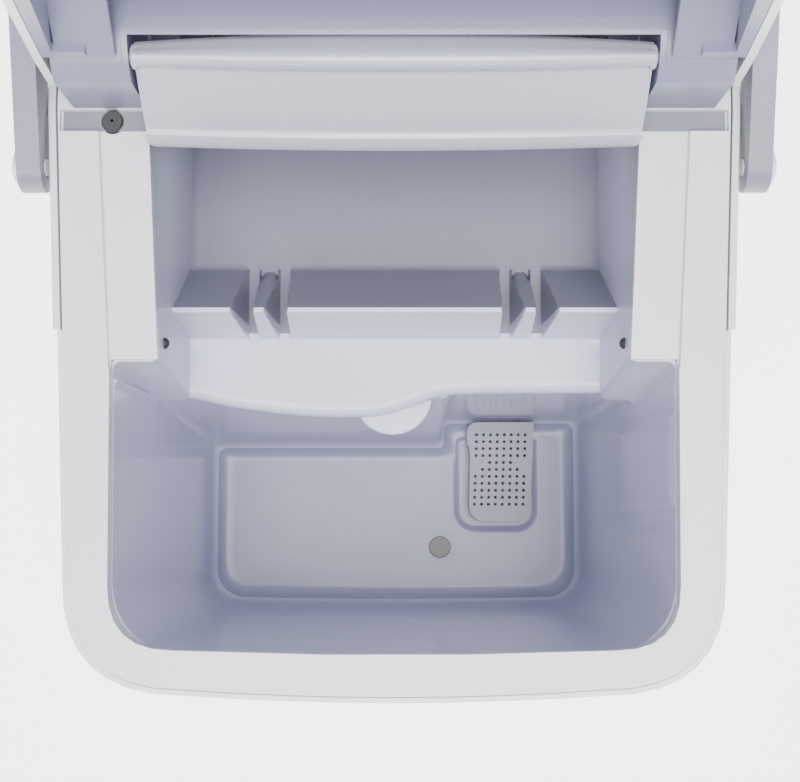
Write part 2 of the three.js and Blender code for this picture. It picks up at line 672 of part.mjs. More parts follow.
const waterHose = () =>
  tube([[80.6, -18, 44], [84, -18, 44.2], [90, -17, 54], [90, -14, 90], [90, 0, 130], [90, 24, 154], [93, 50, 172],
    [94, 60, 198], [94, 62, 214]], 4.2, 8, 20);

// ---- Refrigeration ----
function compressor() {
  const [x, y] = COMPRESSOR;
  const lower = [[0, 24], [30, 24], [40, 29], [43, 38], [43, 88], [41, 92]];
  const upper = [[43, 96], [43, 112], [38, 124], [26, 131], [0, 133]];
  const can = turned([...lower, ...upper], x, y, 24);
  const feet = [90, 210, 330].map((a) => {
    const g = new THREE.BoxGeometry(26, 24, 3);
    g.translate(38, 0, 22.5).rotateZ(rad(a)).translate(x, y, 0);
    return solidOf(g);
  });
  const skirt = turned([[0, 21], [34, 21], [36, 26], [0, 26]], x, y, 24);
  const terminals = box(x - 14, x + 14, y - 52, y - 38, 58, 84);
  return join(can, skirt, terminals, ...feet);
}

function compressorFoot(angle) {
  const [x, y] = COMPRESSOR;
  const at = [x + 44 * Math.cos(rad(angle)), y + 44 * Math.sin(rad(angle))];
  return turned([[0, 11.3], [7.5, 11.3], [6, 14], [7.5, 17], [6.5, 20.7], [0, 20.7]], ...at, 16);
}

function condenser() {
  const fins = Array.from({ length: 9 }, (_, i) => box(97, 113, 32 + i * 12, 33.2 + i * 12, 30, 142));
  const plates = [box(96, 114, 20, 21.6, 26, 146), box(96, 114, 136.4, 138, 26, 146)];
  const runs = Array.from({ length: 4 }, (_, i) => box(102.4, 107.6, 16, 142, 40 + i * 28, 45 + i * 28));
  const bends = Array.from({ length: 3 }, (_, i) => {
    const y = i % 2 ? 17 : 141;
    return box(102.4, 107.6, y - 2, y + 2, 42 + i * 28, 72 + i * 28);
  });
  return join(...plates, ...fins, ...runs, ...bends);
}

function fanShroud() {
  const [y, z] = FAN_AXIS;
  const plate = box(78, 94.6, 26, 134, 28, 144);
  const hollow = bar(FAN_R + 3, "x", 70, 100, FAN_AXIS, 28);
  const pocket = cut(box(80, 96, 28.4, 131.6, 30.4, 141.6));
  const arms = [0, 60, 120].map((a) => {
    const g = new THREE.BoxGeometry(3, 2 * FAN_R + 10, 5);
    g.rotateX(rad(a)).translate(76.6, y, z);
    return solidOf(g);
  });
  const ring = cut(bar(FAN_R + 5.4, "x", 75.1, 94.6, FAN_AXIS, 28), hollow);
  const seat = bar(17, "x", 75.1, 78.1, FAN_AXIS, 24);
  const bore = bar(3.4, "x", 60, 90, FAN_AXIS, 16);
  const face = cut(plate, pocket, hollow);
  return cut(join(face, ring, ...arms, seat), bore);
}

function fanRotor() {
  const [y, z] = FAN_AXIS;
  const hub = bar(15, "x", 80.5, 91, FAN_AXIS, 24);
  const blades = Array.from({ length: 5 }, (_, i) => {
    const g = new THREE.BoxGeometry(1.8, 22, 32);
    g.rotateZ(rad(24)).translate(0, 0, 28.5).rotateX(rad(72 * i)).translate(85.8, y, z);
    return solidOf(g);
  });
  return join(hub, ...blades, bar(2.4, "x", 74, 81, FAN_AXIS, 12));
}

const fanMotor = () =>
  cut(
    join(bar(20, "x", 56, 74.7, FAN_AXIS, 28), bar(8, "x", 52, 57, FAN_AXIS, 16)),
    bar(3, "x", 72, 80, FAN_AXIS, 12),
  );

const filterDrier = () =>
  turned([[0, 40], [2.4, 40], [2.4, 46], [9, 54], [9, 104], [2.4, 112], [2.4, 118], [0, 118]], 28, 134, 16);

const dischargePipe = () =>
  tube(
    [[-20, 108, 131.6], [-20, 109, 137], [-8, 120, 142], [12, 131, 140], [27, 134, 131], [28, 134, 124],
      [28, 134, 118.4]],
    2.4,
    8,
    20,
  );

const suctionPipe = () =>
  tube(
    [[-60, 96, 132.4], [-60, 97, 139], [-70, 108, 150], [-90, 116, 168], [-97, 115, 200], [-96, 112, 228]],
    3.4,
    8,
    18,
  );

function hotGasValve() {
  const stub = bar(4, "z", 140, 151, [0, 137], 12);
  const coil = bar(9, "z", 171.5, 182, [0, 137], 16);
  return join(box(-12, 12, 128, 146, 150, 172), stub, coil);
}

function mainBoard() {
  const board = box(-112, -110, -20, 60, 60, 140);
  const corners = [[-20, 70], [10, 70], [30, 100], [0, 110]];
  const blocks = corners.map(([y, z]) => box(-110.2, -100, y + 2, y + 20, z, z + 18));
  return join(board, ...blocks);
}

function cordGland() {
  const body = [[0, 136], [6, 136], [6, 147], [8.8, 147], [8.8, 154.4], [11.4, 154.6], [11.4, 155.4]];
  const profile = [...body, [9, 156], [4.2, 156], [4.2, 148], [0, 148]];
  const g = new THREE.LatheGeometry(profile.map(([r, y]) => new THREE.Vector2(r, y)), 24);
  g.translate(-80, 0, 34);
  return solidOf(g);
}

// ---- Carry handle, folded back ----
function carryHandle() {
  const [by, bz] = HANDLE_BAR;
  const arms = [-1, 1].map((side) => {
    const [a, b] = side < 0 ? [-HANDLE_OUT, -HANDLE_IN] : [HANDLE_IN, HANDLE_OUT];
    const arm = sweepX(link(HANDLE_PIVOT, 9, HANDLE_BAR, 6.4, 8), a, b);
    return cut(arm, bar(3.4, "x", a - 2, b + 2, HANDLE_PIVOT, 16));
  });
  const grip = sweepX(arc([by, bz], 6.4, 0, 352, 15).slice(0, 15), -HANDLE_IN - 2, HANDLE_IN + 2);
  return join(...arms, grip);
}

const handlePivot = (side) => {
  const profile = [[0, 0], [3.1, 0], [3.1, 9.2], [6.2, 9.2], [6.2, 10.6], [5, 11.2], [0, 11.2]];
  const g = new THREE.LatheGeometry(profile.map(([r, x]) => new THREE.Vector2(r, x)), 20);
  g.rotateZ(side > 0 ? -Math.PI / 2 : Math.PI / 2);
  g.translate(side * (HANDLE_IN - 0.35), ...HANDLE_PIVOT);
  return solidOf(g);
};

// ---- Finishes ----
const finish = (color, roughness, metalness = 0) => ({ color, roughness, metalness });
const WHITE = finish(0xe9eaee, 0.32);
const LINER = finish(0xdcdde6, 0.22);
const GREY = finish(0xb8bac4, 0.4);
const DARK = finish(0x2c2e33, 0.5);
const STEEL = finish(0xb9bcc0, 0.3, 1);
const COPPER = finish(0xb87442, 0.35, 1);
const BLACK_CAN = finish(0x1c1d20, 0.45);
const RUBBER = finish(0x3a3a3c, 0.85);
const BOARD = finish(0x1f5a3a, 0.55);
const WARM_GREY = finish(0xa09d97, 0.6);

const machine = new THREE.Group();
function piece(name, solid, look, parent = machine) {
  const mesh = new THREE.Mesh(geometryOf(solid), new THREE.MeshStandardMaterial(look));
  mesh.name = name;
  parent.add(mesh);
}

piece("base_pan", basePan(), STEEL);
const FEET = [["front_left", -88, -118], ["front_right", 88, -118], ["rear_left", -92, 124], ["rear_right", 92, 124]];
FEET.forEach(
  ([name, x, y]) => piece(`foot_${name}`, foot(x, y), RUBBER),
);
piece("front_shell", frontShell(), WHITE);
piece("rear_shell", rearShell(), WHITE);
piece("rear_grille", rearGrille(), GREY);
piece("top_frame", topFrame(), WHITE);
piece("water_tank", waterTank(), LINER);
piece("ice_chamber", iceChamber(), LINER);
piece("evaporator_housing", evaporatorHousing(), LINER);
piece("rear_deck", rearDeck(), WHITE);
piece("control_panel", controlPanel(), GREY);
["power_button", "size_button", "clean_button"].forEach((name, i) => piece(name, button(BUTTON_X[i]), WHITE));
piece("indicator_lens", indicatorLens(), DARK);
piece("control_board", controlBoard(), BOARD);

const lid = new THREE.Group();
const hinge = new THREE.Vector3(0, HINGE_Y, HINGE_Z);
lid.rotation.x = -rad(OPEN_ANGLE);
lid.position.copy(hinge.clone().sub(hinge.clone().applyEuler(lid.rotation)));
machine.add(lid);
piece("lid_shell", lidShell(), WHITE, lid);
piece("lid_liner", lidLiner(), LINER, lid);
piece("lid_hinge_pin_left", hingePin(-1), STEEL);
piece("lid_hinge_pin_right", hingePin(1), STEEL);
piece("guard_flap", guardFlap(), LINER);

piece("evaporator", evaporator(), STEEL);
piece("water_tray", waterTray(), LINER);
piece("ice_shovel", iceShovel(), LINER);
piece("tray_motor", trayMotor(), DARK);
piece("ir_sensor_left", irSensor(-1), DARK);
piece("ir_sensor_right", irSensor(1), DARK);
piece("water_pump", waterPump(), DARK);
piece("pump_cover", pumpCover(), LINER);
piece("water_hose", waterHose(), GREY);
piece("drain_plug", drainPlug(), WARM_GREY);

piece("compressor", compressor(), BLACK_CAN);
[90, 210, 330].forEach((angle, i) => piece(`compressor_foot_${i + 1}`, compressorFoot(angle), RUBBER));
piece("condenser", condenser(), STEEL);
piece("fan_shroud", fanShroud(), DARK);
piece("fan_rotor", fanRotor(), DARK);
piece("fan_motor", fanMotor(), DARK);
piece("filter_drier", filterDrier(), COPPER);
piece("discharge_pipe", dischargePipe(), COPPER);
piece("suction_pipe", suctionPipe(), COPPER);
piece("hot_gas_valve", hotGasValve(), STEEL);
piece("main_board", mainBoard(), BOARD);
piece("cord_gland", cordGland(), RUBBER);

piece("carry_handle", carryHandle(), WHITE);
piece("handle_pivot_left", handlePivot(-1), WHITE);
piece("handle_pivot_right", handlePivot(1), WHITE);

export default machine;
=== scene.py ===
"""Countertop ice maker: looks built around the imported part, laid out as an add-on."""

import json
import math
import bmesh
import bpy
from bpy.props import FloatProperty, FloatVectorProperty, PointerProperty
from mathutils import Matrix, Vector


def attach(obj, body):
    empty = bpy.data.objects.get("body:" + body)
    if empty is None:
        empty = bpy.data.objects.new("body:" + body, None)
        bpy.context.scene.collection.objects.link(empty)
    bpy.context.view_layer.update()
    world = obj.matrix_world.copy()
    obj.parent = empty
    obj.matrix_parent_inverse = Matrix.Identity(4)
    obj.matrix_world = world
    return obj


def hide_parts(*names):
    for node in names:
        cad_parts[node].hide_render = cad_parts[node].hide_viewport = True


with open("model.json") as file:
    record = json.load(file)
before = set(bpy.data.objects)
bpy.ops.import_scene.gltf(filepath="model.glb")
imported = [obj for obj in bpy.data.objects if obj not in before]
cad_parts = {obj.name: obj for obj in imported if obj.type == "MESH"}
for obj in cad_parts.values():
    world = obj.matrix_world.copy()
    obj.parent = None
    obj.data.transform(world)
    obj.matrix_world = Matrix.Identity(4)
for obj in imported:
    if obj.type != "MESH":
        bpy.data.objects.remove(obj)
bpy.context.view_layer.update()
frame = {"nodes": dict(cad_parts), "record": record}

bl_info = {
    "name": "Countertop Ice Maker",
    "version": (1, 0, 0),
    "blender": (4, 5, 0),
    "location": "3D View > Sidebar > Ice Maker",
    "description": "Builds the ice maker's visible pieces and finishes round its frame",
    "category": "Add Mesh",
}

MM = 0.001
BODY_OF = {n: body for body, ns in frame["record"]["behaviour"]["bodies"].items() for n in ns}
SLOT_OF = {s["node"]: s["material_slot"] for s in frame["record"]["subparts"]}


# ---- Settings ----
class IceMakerFinish(bpy.types.PropertyGroup):
    casing: FloatVectorProperty(
        name="Casing", description="Colour of the outer casing and rim", subtype="COLOR",
        size=3, min=0, max=1, default=(0.74, 0.745, 0.77))
    lining: FloatVectorProperty(
        name="Lining", description="Colour of the tank and the ice chamber", subtype="COLOR",
        size=3, min=0, max=1, default=(0.58, 0.595, 0.73))
    cover: FloatVectorProperty(
        name="Inner covers", description="Colour of the flap and the lid's lining", subtype="COLOR",
        size=3, min=0, max=1, default=(0.46, 0.47, 0.57))
    grain: FloatProperty(
        name="Grain depth", description="Height of the moulded grain", subtype="DISTANCE",
        default=0.00002, min=0, max=0.001)


class IceMakerSizes(bpy.types.PropertyGroup):
    edge: FloatProperty(
        name="Edge radius", description="Rounding of moulded plastic edges", subtype="DISTANCE",
        default=0.0009, min=0.0001, max=0.004)
    floor_fillet: FloatProperty(
        name="Tank floor fillet", description="Radius between the tank's floor and walls",
        subtype="DISTANCE", default=0.0075, min=0.002, max=0.012)
    hole: FloatProperty(
        name="Filter hole", description="Diameter of each hole in the filter cover",
        subtype="DISTANCE", default=0.0016, min=0.0004, max=0.003)
    hole_pitch: FloatProperty(
        name="Filter hole pitch", description="Distance between the filter cover's holes",
        subtype="DISTANCE", default=0.0034, min=0.002, max=0.01)
    camera_height: FloatProperty(
        name="Camera height", description="Height of the camera above the worktop",
        subtype="DISTANCE", default=0.698, min=0.1)
    camera_tilt: FloatProperty(
        name="Camera tilt", description="How far the camera leans from straight down",
        subtype="ANGLE", default=math.radians(5.57))


# ---- Materials ----
def node_socket(tree, name, kind, default, way="INPUT"):
    """Adds one named socket to a node group."""
    made = tree.interface.new_socket(name=name, in_out=way, socket_type=kind)
    if default is not None:
        made.default_value = default


def maths(nodes, operation, slot=None, value=None):
    """A maths node, with one fixed input where it has one."""
    made = nodes.new("ShaderNodeMath")
    made.operation = operation
    if slot is not None:
        made.inputs[slot].default_value = value
    return made


def moulded_surface():
    """Shared effect: soft colour drift, fine grain, worn edges and roughness variation."""
    name = "Moulded Surface"
    if name in bpy.data.node_groups:
        return bpy.data.node_groups[name]
    g = bpy.data.node_groups.new(name, "ShaderNodeTree")
    colour, number = "NodeSocketColor", "NodeSocketFloat"
    node_socket(g, "Color", colour, (0.8, 0.8, 0.8, 1))
    node_socket(g, "Worn Color", colour, (0.9, 0.9, 0.9, 1))
    node_socket(g, "Drift", number, 0.04)
    node_socket(g, "Grain Scale", number, 900.0)
    node_socket(g, "Roughness", number, 0.35)
    node_socket(g, "Roughness Spread", number, 0.08)
    node_socket(g, "Edge Wear", number, 0.3)
    node_socket(g, "Color", colour, None, "OUTPUT")
    node_socket(g, "Roughness", number, None, "OUTPUT")
    node_socket(g, "Height", number, None, "OUTPUT")
    n, link = g.nodes, g.links.new
    i, o = n.new("NodeGroupInput"), n.new("NodeGroupOutput")
    place = n.new("ShaderNodeTexCoord")
    wide, fine, smear = (n.new("ShaderNodeTexNoise") for _ in range(3))
    wide.inputs["Scale"].default_value = 14
    wide.inputs["Detail"].default_value = 3
    smear.inputs["Scale"].default_value = 60
    smear.inputs["Detail"].default_value = 6
    fine.inputs["Detail"].default_value = 2
    link(i.outputs["Grain Scale"], fine.inputs["Scale"])
    for t in (wide, fine, smear):
        link(place.outputs["Object"], t.inputs["Vector"])
    shade = n.new("ShaderNodeHueSaturation")
    centre = maths(n, "SUBTRACT", 1, 0.5)
    by = maths(n, "MULTIPLY_ADD", 2, 1)
    link(wide.outputs["Fac"], centre.inputs[0])
    link(centre.outputs[0], by.inputs[0])
    link(i.outputs["Drift"], by.inputs[1])
    link(by.outputs[0], shade.inputs["Value"])
    link(i.outputs["Color"], shade.inputs["Color"])
    geometry = n.new("ShaderNodeNewGeometry")
    edge = n.new("ShaderNodeMapRange")
    edge.inputs["From Min"].default_value = 0.53
    edge.inputs["From Max"].default_value = 0.62
    link(geometry.outputs["Pointiness"], edge.inputs["Value"])
    worn = maths(n, "MULTIPLY")
    patch = maths(n, "MULTIPLY")
    link(edge.outputs["Result"], worn.inputs[0])
    link(smear.outputs["Fac"], worn.inputs[1])
    link(worn.outputs[0], patch.inputs[0])
    link(i.outputs["Edge Wear"], patch.inputs[1])
    mix = n.new("ShaderNodeMix")
    mix.data_type = "RGBA"
    link(patch.outputs[0], mix.inputs["Factor"])
    link(shade.outputs["Color"], mix.inputs[6])
    link(i.outputs["Worn Color"], mix.inputs[7])
    link(mix.outputs[2], o.inputs["Color"])
    off = maths(n, "SUBTRACT", 1, 0.5)
    rough = maths(n, "MULTIPLY_ADD")
    link(smear.outputs["Fac"], off.inputs[0])
    link(off.outputs[0], rough.inputs[0])
    link(i.outputs["Roughness Spread"], rough.inputs[1])
    link(i.outputs["Roughness"], rough.inputs[2])
    link(rough.outputs[0], o.inputs["Roughness"])
    link(fine.outputs["Fac"], o.inputs["Height"])
    return g


def material(name, color, roughness=0.35, metallic=0.0, worn=None, drift=0.05, grain=900.0,
             bump=0.00002, spread=0.1, wear=0.3, coat=0.0, coat_roughness=0.1, ior=1.5):
    """One finish: the shared effect with this finish's own values, feeding a Principled BSDF."""
    if name in bpy.data.materials:
        return bpy.data.materials[name]
    m = bpy.data.materials.new(name)
    m.use_nodes = True
    n, link = m.node_tree.nodes, m.node_tree.links.new
    bsdf = n["Principled BSDF"]
    effect = n.new("ShaderNodeGroup")
    effect.node_tree = moulded_surface()
    worn = worn or [min(1, c * 1.15 + 0.03) for c in color]
    for key, value in (("Color", (*color, 1)), ("Worn Color", (*worn, 1)), ("Drift", drift),
                       ("Grain Scale", grain), ("Roughness", roughness),
                       ("Roughness Spread", spread), ("Edge Wear", wear)):
        effect.inputs[key].default_value = value
    relief = n.new("ShaderNodeBump")
    relief.inputs["Strength"].default_value = 0.6
    relief.inputs["Distance"].default_value = bump
    link(effect.outputs["Height"], relief.inputs["Height"])
    link(relief.outputs["Normal"], bsdf.inputs["Normal"])
    link(effect.outputs["Color"], bsdf.inputs["Base Color"])
    link(effect.outputs["Roughness"], bsdf.inputs["Roughness"])
    bsdf.inputs["Metallic"].default_value = metallic
    bsdf.inputs["IOR"].default_value = ior
    bsdf.inputs["Coat Weight"].default_value = coat
    bsdf.inputs["Coat Roughness"].default_value = coat_roughness
    return m


def tinted(color, *by):
    """A colour multiplied channel by channel, or by one number."""
    by = by if len(by) == 3 else by * 3
    return [c * k for c, k in zip(color, by)]


def finish_table():
    """Every finish: its full name, colour and whatever differs from the defaults."""
    look = bpy.context.scene.ice_maker_finish
    casing, lining, cover, grain = look.casing, look.lining, look.cover, look.grain
    half = dict(bump=grain * 0.5, wear=0.1)
    return {
        "casing_white": ("casing white", casing, dict(roughness=0.34, bump=grain, coat=0.25)),
        "handle_plastic": ("handle plastic", tinted(casing, 0.28, 0.275, 0.35),
                           dict(roughness=0.36, bump=grain * 1.5)),
        "tank_plastic": ("tank plastic", lining,
                         dict(roughness=0.3, bump=grain * 0.3, coat=0.5, coat_roughness=0.06,
                              wear=0.1, spread=0.06)),
        # Painted shade: the tank's floor is the lining darkened for the dim light at the bottom of the tank.
        "tank_floor_painted_shade": ("tank floor painted shade", tinted(lining, 0.52, 0.53, 0.60),
                       dict(roughness=0.34, bump=grain * 0.3, coat=0.25, coat_roughness=0.16,
                            wear=0.1, spread=0.06)),
        "liner_plastic": ("liner plastic", lining, dict(roughness=0.36, coat=0.12, **half)),
        "inner_cover": ("inner cover plastic", cover,
                        dict(roughness=0.28, bump=grain * 0.4, coat=0.25, wear=0.1)),
        # Painted shade: the lid's lining is the inner-cover colour darkened for the shade under the open lid;
        # the housing and the nose bands use it too.
        "lid_lining_painted_shade": ("lid lining painted shade", tinted(cover, 0.47, 0.485, 0.56),
                       dict(roughness=0.3, bump=grain * 0.4, coat=0.2, wear=0.1)),
        # Painted shade: the chamber's floor behind the ridge is the lining darkened for the shade under the
        # flap and the open lid.
        "chamber_floor_painted_shade": ("chamber floor painted shade", tinted(lining, 0.315, 0.32, 0.34),
                          dict(roughness=0.42, coat=0.1, **half)),
        # Painted shade: the ridge's back slope is the lining darkened because it faces away from the light.
        "chamber_ramp_painted_shade": ("chamber ramp painted shade", tinted(lining, 0.44),
                         dict(roughness=0.42, coat=0.1, **half)),
        "filter_grey": ("filter cover plastic", tinted(lining, 0.5),
                        dict(roughness=0.35, bump=grain * 0.5)),
        # Painted shade: the ledge is the lining colour darkened for the shade the open lid casts on it.
        "ledge": ("ledge painted shade", tinted(lining, 0.34), dict(roughness=0.4, bump=grain, wear=0.1)),
        "grey_plastic": ("grey panel plastic", (0.30, 0.31, 0.34), dict(roughness=0.42, bump=grain * 2)),
        "sheet_steel": ("plated sheet steel", (0.60, 0.61, 0.63),
                        dict(roughness=0.38, metallic=1.0, drift=0.15, spread=0.2)),
        "rubber": ("moulded rubber", (0.035, 0.035, 0.038), dict(roughness=0.8, bump=grain * 4, grain=500)),
        "dark_lens": ("smoked lens", (0.02, 0.022, 0.028), dict(roughness=0.12, coat=1.0, bump=0.0)),
        "circuit_board": ("solder mask", (0.02, 0.13, 0.06), dict(roughness=0.35, drift=0.3, grain=300)),
        "steel_pin": ("turned steel", (0.62, 0.62, 0.64), dict(roughness=0.25, metallic=1.0, spread=0.2)),
        "nickel_plate": ("nickel plate", (0.70, 0.70, 0.67),
                         dict(roughness=0.28, metallic=1.0, spread=0.25)),
        "dark_plastic": ("dark moulded plastic", (0.03, 0.03, 0.034), dict(roughness=0.5, bump=grain * 3)),
        "black_enamel": ("black enamel", (0.012, 0.012, 0.014), dict(roughness=0.28, coat=0.4, grain=250)),
        "fin_aluminium": ("fin aluminium", (0.72, 0.73, 0.75),
                          dict(roughness=0.34, metallic=1.0, spread=0.25)),
        "copper": ("drawn copper", (0.72, 0.36, 0.20),
                   dict(roughness=0.32, metallic=1.0, worn=(0.45, 0.20, 0.12), drift=0.4, spread=0.3)),
        "hose": ("milky silicone", (0.62, 0.64, 0.66), dict(roughness=0.45, bump=grain * 2)),
        "warm_grey_plug": ("warm grey stopper", (0.30, 0.285, 0.265), dict(roughness=0.62, bump=grain * 3)),
    }


def finish_of(key):
    """The material of one finish, made the first time it is asked for."""
    name, color, values = finish_table()[key]
    return material(name, color, **values)


# ---- Mesh helpers ----
def shown(name, bm, finish, smooth_limit):
    """Turns a bmesh into a shaded object with one finish; edges past the limit stay sharp."""
    mesh = bpy.data.meshes.new(name)
    for f in bm.faces:
        f.smooth = True
    for e in bm.edges:
        e.smooth = not (len(e.link_faces) == 2 and e.calc_face_angle(0) > smooth_limit)
    bm.to_mesh(mesh)
    bm.free()
    ob = bpy.data.objects.new(name, mesh)
    bpy.context.collection.objects.link(ob)
    mesh.materials.append(finish_of(finish))
    return ob


def piece(name, bm, nodes, finish=None):
    """A piece that stands for CAD nodes and rides on their body."""
    slot = SLOT_OF[nodes[0]]
    ob = shown(name, bm, finish or slot, math.radians(38))
    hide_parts(*nodes)
    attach(ob, BODY_OF[nodes[0]])
    return ob


def added(name, bm, body, finish):
    """A small piece that the CAD leaves out."""
    ob = shown(name, bm, finish, 0.6)
    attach(ob, body)
    return ob


def even_normals(ob):
    """Keeps broad flat faces flat beside rounded edges."""
    m = ob.modifiers.new("even normals", "WEIGHTED_NORMAL")
    m.keep_sharp = True
    return ob


def corners_past(bm, limit):
    """The edges between two faces that meet at more than an angle."""
    return [e for e in bm.edges if len(e.link_faces) == 2 and e.calc_face_angle(0) > limit]


def rounded(node, edge, segments=2):
    """A node's own shape with merged faces and rounded edges."""
    bm = bmesh.new()
    bm.from_mesh(frame["nodes"][node].data)
    bmesh.ops.remove_doubles(bm, verts=bm.verts, dist=2e-5)
    bmesh.ops.dissolve_limit(bm, angle_limit=math.radians(1.0), use_dissolve_boundaries=False,
                             verts=bm.verts, edges=bm.edges, delimit=set())
    corners = corners_past(bm, math.radians(28))
    if corners and edge > 0:
        bmesh.ops.bevel(bm, geom=corners, offset=edge, offset_type="OFFSET", segments=segments,
                        profile=0.5, affect="EDGES", clamp_overlap=True, loop_slide=True, material=-1)
    bmesh.ops.recalc_face_normals(bm, faces=bm.faces)
    return bm


def refined(node, edge, segments=2, finish=None):
    """A piece made from a node's own shape."""
    return even_normals(piece(node + "_finish", rounded(node, edge, segments), [node], finish))


# ---- Pieces drawn anew ----
def surface(name_points, columns, rows):
    """A grid of points, laid by a function of column and row, in millimetres."""
    bm = bmesh.new()
    bmesh.ops.create_grid(bm, x_segments=columns - 1, y_segments=rows - 1, size=1)
    for v in bm.verts:
        column = round((v.co.x + 1) / 2 * (columns - 1))
        row = round((v.co.y + 1) / 2 * (rows - 1))
        v.co = Vector(name_points(column, row)) * MM
    bmesh.ops.remove_doubles(bm, verts=bm.verts, dist=1e-6)
    bmesh.ops.recalc_face_normals(bm, faces=bm.faces)
    return bm


def joined(*parts):
    """One bmesh out of several."""
    whole = bmesh.new()
    for part in parts:
        mesh = bpy.data.meshes.new("part")
        part.to_mesh(mesh)
        part.free()
        whole.from_mesh(mesh)
        bpy.data.meshes.remove(mesh)
    return whole


def face_up(bm, toward):
    """Turns every face so that the sheet's open side points toward a place."""
    target = Vector(toward) * MM
    if sum(f.normal.dot(target - f.calc_center_median()) * f.calc_area() for f in bm.faces) < 0:
        bmesh.ops.reverse_faces(bm, faces=bm.faces)
    return bm


def thickened(bm, thickness):
    """Gives a sheet its wall, on the side away from its open side."""
    bmesh.ops.solidify(bm, geom=bm.faces, thickness=thickness * MM)
    return bm


def smooth(t):
    """An even ramp from 0 to 1 with soft ends."""
    t = min(1.0, max(0.0, t))
    return t * t * (3 - 2 * t)


def along(points, x):
    """Smooth curve through points, read off at x."""
    if x <= points[0][0]:
        return points[0][1]
    for k in range(len(points) - 1):
        (x0, y0), (x1, y1) = points[k], points[k + 1]
        if x <= x1:
            before = points[max(0, k - 1)]
            after = points[min(len(points) - 1, k + 2)]
            m0 = (y1 - before[1]) / (x1 - before[0])
            m1 = (after[1] - y0) / (after[0] - x0)
            t, w = (x - x0) / (x1 - x0), x1 - x0
            return ((2 * t**3 - 3 * t**2 + 1) * y0 + (t**3 - 2 * t**2 + t) * w * m0
                    + (3 * t**2 - 2 * t**3) * y1 + (t**3 - t**2) * w * m1)
    return points[-1][1]


def arc_points(cx, cy, r, a0, a1, count):
    """Evenly spaced points on an arc, its angles in degrees."""
    angles = [math.radians(a0 + (a1 - a0) * k / (count - 1)) for k in range(count)]
    return [(cx + r * math.cos(a), cy + r * math.sin(a)) for a in angles]


def resampled(points, count):
    """Evenly spaced points along a line of corners."""
    steps = [0.0]
    for a, b in zip(points, points[1:]):
        steps.append(steps[-1] + math.dist(a, b))
    made, k = [], 0
    for n in range(count):
        s = steps[-1] * n / (count - 1)
        while k < len(points) - 2 and steps[k + 1] < s:
            k += 1
        t = (s - steps[k]) / max(1e-9, steps[k + 1] - steps[k])
        made.append(tuple(a + (b - a) * t for a, b in zip(points[k], points[k + 1])))
    return made


# Heights of the tank's floor, the rim, the ice chamber's floor and the ridge's crest
FLOOR_Z, RIM_Z, CHAMBER_Z, CREST_Z = 28.0, 240.0, 165.0, 207.0
TANK_TOP_Z = 232.6
TANK_MIDDLE = (30.0, -90.0)
PLUG_PLACE = (21.8, -104.4)
PLUG_NARROWING = 0.84
RING_POINTS, FLOOR_RINGS = 360, 52
LID_AXIS = (70, 256)
FLAP_AXIS = (60, 270)
# Front edge of the apron, x and y from left to right
APRON_FRONT = [
    (-93, -41.6), (-79, -43.2), (-69.4, -45.4), (-61, -46.8), (-44.5, -49), (-30, -50.1), (-13.6, -50.2),
    (-4, -49.2), (4, -46.8), (11, -44.4), (18.4, -41.9), (26.5, -41), (43, -40.7), (93, -40.4),
]


def tank_half(y, z):
    """Half the tank's width: wide at the mouth, narrow at the floor."""
    up = (z - FLOOR_Z) / (RIM_Z - FLOOR_Z)
    at_floor, at_mouth = 89.6, 98.0 + 0.012 * (y + 42)
    return at_floor + up * (at_mouth - at_floor)


def tank_ring(z, inset):
    """The tank's inner wall at one height, from the back left round the front to the back right."""
    up = (z - FLOOR_Z) / (RIM_Z - FLOOR_Z)
    front = -130.4 - 6.2 * up + inset
    r = 14 + 9 * up
    bow = 1.5 * up + 0.8
    half = tank_half(front, z) - inset
    back = -41.6 + 2.8 * min(1.0, (z - FLOOR_Z) / 130) - inset
    wedge = -54 + 12.3 * min(1.0, (z - FLOOR_Z) / 132) - inset
    low = front + r
    left = [(-tank_half(y, z) + inset, y) for y in (wedge - 4, -80, -100, low)]
    corner_l = [(-half + r + px, low + py) for px, py in arc_points(0, 0, r, 180, 266, 9)]
    nose = [((half - r) * t, front + bow * (t * t - 1)) for t in (-0.9, -0.6, -0.3, 0, 0.3, 0.6, 0.9)]
    corner_r = [(half - r + px, low + py) for px, py in arc_points(0, 0, r, 274, 360, 9)]
    right = [(tank_half(y, z) - inset, y) for y in (low, -100, -80, -60, back - 4)]
    join_r = [(tank_half(back, z) - inset - 4 + px, back - 4 + py)
              for px, py in arc_points(0, 0, 4, 0, 90, 5)]
    if wedge < back - 3:
        step = [(26, back), (23.6, back - 0.6), (22.4, back - 2)]
    else:
        step = [(26, back), (23, back)]
    step += [(22, min(wedge + 1.5, back)), (20.5, min(wedge, back))]
    step = [(x + inset, y) for x, y in step]
    join_l = [(-tank_half(wedge, z) + inset + 4 + px, wedge - 4 + py)
              for px, py in arc_points(0, 0, 4, 90, 180, 5)]
    line = left + corner_l[1:] + nose + corner_r[:-1] + right + join_r[1:] + step + join_l
    return resampled(line, RING_POINTS + 1)[:-1]


def well_depth(x, y):
    """The shallow U-shaped well round the filter cover, in the tank's floor."""
    dx = max(abs(x - 49.5) - 10, 0)
    dy = max(-(y + 86), 0)
    reach = 11.5 - math.hypot(dx, dy)
    return 0.9 * smooth(reach / 4.0)


